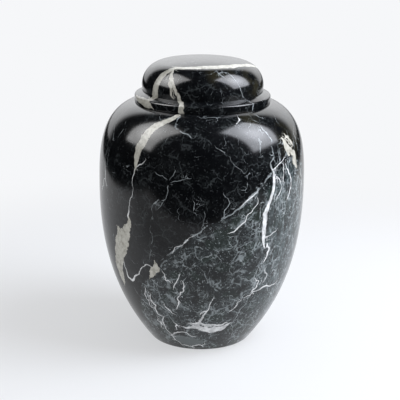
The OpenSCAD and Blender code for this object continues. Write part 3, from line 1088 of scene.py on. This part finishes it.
@dataclass
class UrnLid:
    """The loose lid: a plug, a flange and a low dome. Height and flange width come from the frame."""

    node: str = "urn_lid"
    plug_d: float = 86
    plug_h: float = 14
    plug_edge_r: float = 1.5
    flange_t: float = 6.9
    flange_rise: float = 3.2
    flange_ledge: float = 6.6
    flange_top_r: float = 1.8
    flange_low_r: float = 1
    dome_shoulder_r: float = 21.5
    dome_crown_r: float = 197
    dome_tuck: float = 0.5
    columns: int = 480
    shown_spacing: float = 1.0
    hidden_spacing: float = 6

    def __post_init__(self) -> None:
        """Reads the overall sizes from the frame."""
        low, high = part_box(self.node)
        self.bottom, self.top = low.z / MM, high.z / MM
        self.flange_r = (high.x - low.x) / MM / 2

    def inside(self) -> np.ndarray:
        """The hidden outline.

        Returns:
            Its points, under the plug, up its side and out below the flange.
        """
        plug_r, seat = self.plug_d / 2, self.bottom + self.plug_h
        edge = rounded((0, self.bottom), (plug_r, self.bottom), (plug_r, seat), self.plug_edge_r, 4)
        start = np.concatenate([[(0, self.bottom)], edge, [(plug_r, seat)]])
        end = [(self.flange_r - self.flange_low_r, seat)]
        return evened(np.concatenate([start, end]), self.hidden_spacing)[:-1]

    def outside(self) -> np.ndarray:
        """The shown outline.

        Returns:
            Its points, from below the flange up over the dome to the middle of the crown.
        """
        seat, out = self.bottom + self.plug_h, self.flange_r
        brim = seat + self.flange_t
        dome_r = out - self.flange_ledge
        ledge = (dome_r - self.dome_tuck, brim + self.flange_rise)
        crown_z = self.top - self.dome_crown_r
        lean = math.asin((dome_r - self.dome_shoulder_r) / (self.dome_crown_r - self.dome_shoulder_r))
        offset = self.dome_crown_r - self.dome_shoulder_r
        shoulder_middle = (offset * math.sin(lean), crown_z + offset * math.cos(lean))
        wall_top = (dome_r, shoulder_middle[1])
        shoulder = arc(shoulder_middle, self.dome_shoulder_r, 0, math.pi / 2 - lean, 40)
        crown = arc((0, crown_z), self.dome_crown_r, math.pi / 2 - lean, math.pi / 2, 40)
        flange = [
            rounded((self.plug_d / 2, seat), (out, seat), (out, brim), self.flange_low_r, 4),
            rounded((out, seat), (out, brim), ledge, self.flange_top_r, 6),
            [ledge, wall_top],
        ]
        outline = np.concatenate([*flange, shoulder[1:], crown[1:]])
        return evened(outline, self.shown_spacing)

    def veins(self, face: Face, rng: np.random.Generator) -> list[Vein]:
        """The veins of the lid: the great ones listed, and small ones by chance.

        Args:
            face: the lid's shown side.
            rng: where chance comes from.

        Returns:
            All of them, in the order in which they are drawn.
        """
        cream, white, hair = Layer.CREAM, Layer.WHITE, Layer.HAIR
        great = [
            # Broad seam round the front of the crown, coming down on the left.
            Vein(cream, ((-38, 40, 4), (-30, 40, 5), (-16, 37, 6), (0, 35, 7), (18, 35, 8), (38, 36, 8),
                         (55, 37, 7), (72, 42, 6), (88, 48, 4), (100, 54, 1)), 0.05),
            Vein(cream, ((-34, 41, 3), (-40, 44, 5), (-44, 51, 6.5), (-47, 58, 7), (-49, 66, 8),
                         (-50, 73, 8), (-50, 77, 6)), 0.05),
            Vein(cream, ((-50, 76, 5), (-52, 80, 5), (-54, 84, 5)), 0.05),
            Vein(cream, ((-78, 82, 2), (-72, 83, 5), (-64, 83, 7), (-56, 84, 8), (-50, 85, 7),
                         (-47, 86, 3)), 0.06),
            Vein(cream, ((-36, 46, 2), (-34, 53, 3), (-33, 60, 3), (-30, 66, 2.4), (-28, 72, 1.4)), 0.12),
            Vein(cream, ((-33, 52, 1.6), (-29, 59, 2.4), (-25, 66, 3), (-22, 72, 3.4), (-18, 77, 3.6),
                         (-17, 83, 5), (-17, 89, 5)), 0.1),
            Vein(hair, ((36, 61, 0.8), (38, 67, 1.1), (42, 73, 1.5), (45, 79, 1.1), (46, 84, 1.6),
                        (45, 89, 1))),
            Vein(hair, ((10, 47, 0.8), (16, 43, 1.1), (19, 49, 1.2), (23, 53, 0.7))),
            Vein(hair, ((17, 50, 0.6), (20, 46, 1), (25, 46, 0.8), (28, 52, 0.6))),
            Vein(hair, ((27, 46, 0.6), (30, 50, 0.8), (33, 55, 0.5))),
            # Back of the lid.
            Vein(cream, ((150, 60, 1), (160, 50, 3), (175, 40, 4), (188, 33, 3), (200, 26, 1)), 0.08),
            Vein(white, ((120, 88, 0.7), (124, 76, 1), (130, 62, 0.8), (128, 50, 0.7))),
            Vein(white, ((-130, 88, 0.9), (-126, 70, 1), (-132, 54, 0.8), (-120, 40, 0.7))),
        ]
        return great + scattered(face, 160, rng, (3, 12), 0.35, lambda d, a: a > 12)

    def make(self, finish: bpy.types.Material) -> bpy.types.Object:
        """Builds the lid, draws its veins and dresses it.

        Args:
            finish: the stone.

        Returns:
            The piece, riding on the urn.
        """
        outside = self.outside()
        turned = TurnedPiece("urn_lid_stone", self.inside(), outside[:-1], outside[-1:], self.columns)
        piece = turned.build()
        face, rng = Face(outside[::-1]), np.random.default_rng(7)
        turned.draw_veins(piece, face, self.veins(face, rng), rng)
        store(piece, "crushed", np.full(len(turned.places), 0.1))
        store(piece, "pale", np.zeros(len(turned.places)))
        store(piece, "olive", stained(turned.places, face, (Stain(20, 49, 16), Stain(60, 60, 18))))
        piece.data.materials.append(finish)
        return settled(piece, self.node)


def stained(places: np.ndarray, face: Face, stains: tuple[Stain, ...]) -> np.ndarray:
    """How strongly each vertex is stained, from 0 to 1.

    Args:
        places: the vertices, in mm.
        face: the side that the stains' places are given on.
        stains: the stained places.

    Returns:
        One number for each vertex.
    """
    strength = np.zeros(len(places))
    for stain in stains:
        middle = face.points(np.array([stain.degrees]), np.array([stain.along]))[0]
        share = 1 - np.linalg.norm(places - middle, axis=1) / stain.reach
        strength = np.maximum(strength, np.clip(share * 2, 0, 1))
    return strength


def settled(piece: bpy.types.Object, node: str) -> bpy.types.Object:
    """Puts a finished piece in the place of its CAD node, and reports it.

    Args:
        piece: the finished piece.
        node: the CAD node that it stands for.

    Returns:
        The piece.
    """
    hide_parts(node)
    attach(piece, "root")
    triangles = sum(len(p.vertices) - 2 for p in piece.data.polygons)
    log.info("%s stands for %s: %d triangles", piece.name, node, triangles)
    return piece


# ---------------------------------------------------------------- the studio

@dataclass(frozen=True)
class Softbox:
    """A soft light: where it hangs, what it faces, its size across and up in metres, and its glow.

    lights_matt says whether it lights matt surfaces too, or is flagged off them and only shows in
    the polish.
    """

    name: str
    place: tuple[float, float, float]
    aim: tuple[float, float, float]
    across: float
    up: float
    radiance: float
    colour: str
    lights_matt: bool = True

    # Watts for each unit of radiance and square metre of cloth.
    WATTS_PER_RADIANCE = 4.0

    def _soften(self, lamp: bpy.types.AreaLight) -> None:
        """Makes the cloth glow most in its middle, and less at its rim, as over a single bulb."""
        lamp.use_nodes = True
        tree = lamp.node_tree
        tree.nodes.clear()
        node = partial(add, tree)
        place = node("NewGeometry", out="Parametric")
        off = node("VectorMath", (place, (-0.5, -0.5, 0)))
        parts = node("SeparateXYZ", (off,)).node.outputs
        across = node("Math", (parts[0],), operation="ABSOLUTE")
        up = node("Math", (parts[1],), operation="ABSOLUTE")
        edge = node("Math", (across, up), operation="MAXIMUM")
        rim = node("MapRange", (edge, 0.42, 0.5, 1, 0.35), **SMOOTH)
        away = node("VectorMath", (off,), out="Value", operation="LENGTH")
        middle = node("MapRange", (away, 0, 0.45, 1.6, 0.8), **SMOOTH)
        strength = node("Math", (rim, middle), operation="MULTIPLY")
        glow = node("Emission", {"Strength": strength})
        node("OutputLight", {"Surface": glow})

    def hang(self) -> None:
        """Makes the light, in its place and turned to what it faces."""
        lamp = bpy.data.lights.new(self.name, "AREA")
        lamp.shape = "RECTANGLE"
        lamp.size, lamp.size_y = self.across, self.up
        lamp.energy = self.radiance * self.WATTS_PER_RADIANCE * self.across * self.up
        lamp.color = linear(self.colour)[:3]
        self._soften(lamp)
        light = bpy.data.objects.new(self.name, lamp)
        light.location = self.place
        light.visible_diffuse = self.lights_matt
        toward = Vector(self.aim) - Vector(self.place)
        light.rotation_mode = "QUATERNION"
        light.rotation_quaternion = toward.to_track_quat("-Z", "Y")
        bpy.context.scene.collection.objects.link(light)


@dataclass
class Studio:
    """A pale floor without an edge, two softboxes, and a pale wall behind the urn.

    The polished stone mirrors the studio, so the studio also paints into that mirror what lies outside the
    view: to glossy rays the white floor is painted black from a little way in front of the urn and beside it,
    as the dark room beyond, while to the eye it runs on.
    """

    floor_half: float = 7.0
    floor_colour: str = "#929394"
    # The strength of the floor's painted glow, added over its lit paint.
    floor_glow: float = 0.58
    room_colour: str = "#f6f7f9"
    paper_half: float = 0.65
    paper_front: float = 0.42
    dimmer_between: tuple[float, float] = (-0.26, -0.06)
    dimmer_by: tuple[float, float] = (0.5, 0.1)
    wall_glow: float = 2.15
    fill: float = 0.55

    def build(self) -> None:
        """Makes the floor, the lights and the room."""
        self._floor()
        for box in (
            Softbox("softbox_right", (0.68, -0.14, 0.82), (0, 0, 0.18), 0.72, 0.95, 7.3, "#f2f6ff"),
            Softbox("softbox_left", (-0.68, -0.14, 0.82), (0, 0, 0.18), 0.72, 0.95, 4.6, "#ffffff", False),
        ):
            box.hang()
        self._room()

    def _floor(self) -> None:
        """A round pale floor with a painted glow of its own that melts into the room. In the stone's mirror
        it is painted black beyond a short reach and painted darker towards its front.
        """
        mesh = bpy.data.meshes.new("studio_floor")
        half = self.floor_half
        corners = [(-half, -half, 0), (half, -half, 0), (half, half, 0), (-half, half, 0)]
        mesh.from_pydata(corners, [], [(0, 1, 2, 3)])
        floor = bpy.data.objects.new("studio_floor", mesh)
        bpy.context.scene.collection.objects.link(floor)
        material = bpy.data.materials.new("painted_studio_floor")
        material.use_nodes = True
        tree = material.node_tree
        tree.nodes.clear()
        node = partial(add, tree)
        place = node("TexCoord", out="Object")
        away = node("VectorMath", (place,), out="Value", operation="LENGTH")
        parts = node("SeparateXYZ", (place,)).node.outputs
        paint = node("BsdfDiffuse", {"Color": self.floor_colour})
        # Painted light: over its lit paint the floor glows with a light of its own, which keeps the shadows
        # cast on it light.
        painted_glow = node("Emission", {"Color": self.room_colour, "Strength": self.floor_glow})
        near = node("AddShader", (paint, painted_glow))
        pale = node("Emission", {"Color": self.room_colour})
        dark = node("Emission", {"Color": "#000000"})
        melt = node("MapRange", (away, 0.26, 0.6), **SMOOTH)
        seen = node("MixShader", (melt, near, pale))
        # Painted reflection: past the paper's edges the floor is painted black, but only to glossy rays.
        aside = node("Math", (parts[0],), operation="ABSOLUTE")
        past_side = node("MapRange", (aside, self.paper_half, self.paper_half + 0.05), **SMOOTH)
        past_front = node("MapRange", (parts[1], -self.paper_front - 0.04, -self.paper_front, 1, 0), **SMOOTH)
        # Painted shade: towards its front edge the floor is painted darker in the stone's mirror, as if less
        # light reached it there.
        dimmer = node("MapRange", (parts[1], *self.dimmer_between, *self.dimmer_by), **SMOOTH)
        painted_black_share = node("Math", (past_side, past_front), operation="MAXIMUM")
        painted_black_share = node("Math", (painted_black_share, dimmer), operation="MAXIMUM")
        mirrored = node("MixShader", (painted_black_share, seen, dark))
        ray = node("LightPath", out="Is Glossy Ray")
        either = node("MixShader", (ray, seen, mirrored))
        node("OutputMaterial", {"Surface": either})
        mesh.materials.append(material)

    def _room(self) -> None:
        """The room: pale to the eye, an even fill for the stone, and in its mirror a white wall behind."""
        world = bpy.data.worlds.new("studio_room")
        bpy.context.scene.world = world
        world.use_nodes = True
        tree = world.node_tree
        tree.nodes.clear()
        node = partial(add, tree)
        toward = node("TexCoord", out="Generated")
        parts = node("SeparateXYZ", (toward,)).node.outputs
        behind = node("MapRange", (parts[1], 0.62, 0.78), **SMOOTH)
        below = node("MapRange", (parts[2], 0.65, 0.85, 1, 0), **SMOOTH)
        wall = node("Math", (behind, below), operation="MULTIPLY")
        higher = node("MapRange", (parts[2], 0, 0.35, 1, self.wall_glow))
        lit = node("Math", (wall, higher), operation="MULTIPLY")
        glow = node("Math", (lit, 0.01))
        mirrored = node("Background", {"Color": self.room_colour, "Strength": glow})
        seen = node("Background", {"Color": self.room_colour})
        even = node("Background", {"Color": "#ffffff", "Strength": self.fill})
        path = node("LightPath").node.outputs
        other = node("MixShader", (path["Is Glossy Ray"], even, mirrored))
        all_rays = node("MixShader", (path["Is Camera Ray"], other, seen))
        node("OutputWorld", {"Surface": all_rays})


@dataclass(frozen=True)
class Camera:
    """The camera, in front of the urn and higher than its lid, looking a little down.

    distance and height are in metres, down and roll in degrees, lens and sensor in millimetres.
    """

    distance: float = 1.1
    height: float = 0.4595
    down: float = 16.53
    roll: float = 0.64
    lens: float = 108.45
    sensor: float = 36.0
    shift: float = -0.00355

    def place(self) -> None:
        """Makes the scene's camera."""
        data = bpy.data.cameras.new("camera")
        data.lens, data.sensor_width, data.shift_x = self.lens, self.sensor, self.shift
        camera = bpy.data.objects.new("camera", data)
        camera.location = (0, -self.distance, self.height)
        camera.rotation_mode = "QUATERNION"
        tilt = Quaternion((1, 0, 0), math.radians(90 - self.down))
        camera.rotation_quaternion = tilt @ Quaternion((0, 0, 1), math.radians(self.roll))
        bpy.context.scene.collection.objects.link(camera)
        bpy.context.scene.camera = camera


def main() -> None:
    """Builds the studio and the urn."""
    logging.basicConfig(level=logging.INFO, format="%(name)s: %(message)s")
    bpy.context.scene.view_settings.view_transform = "Standard"
    Camera().place()
    Studio().build()
    stone = PolishedBlackMarble().material()
    UrnBody().make(stone)
    UrnLid().make(stone)


if __name__ == "__main__":
    main()
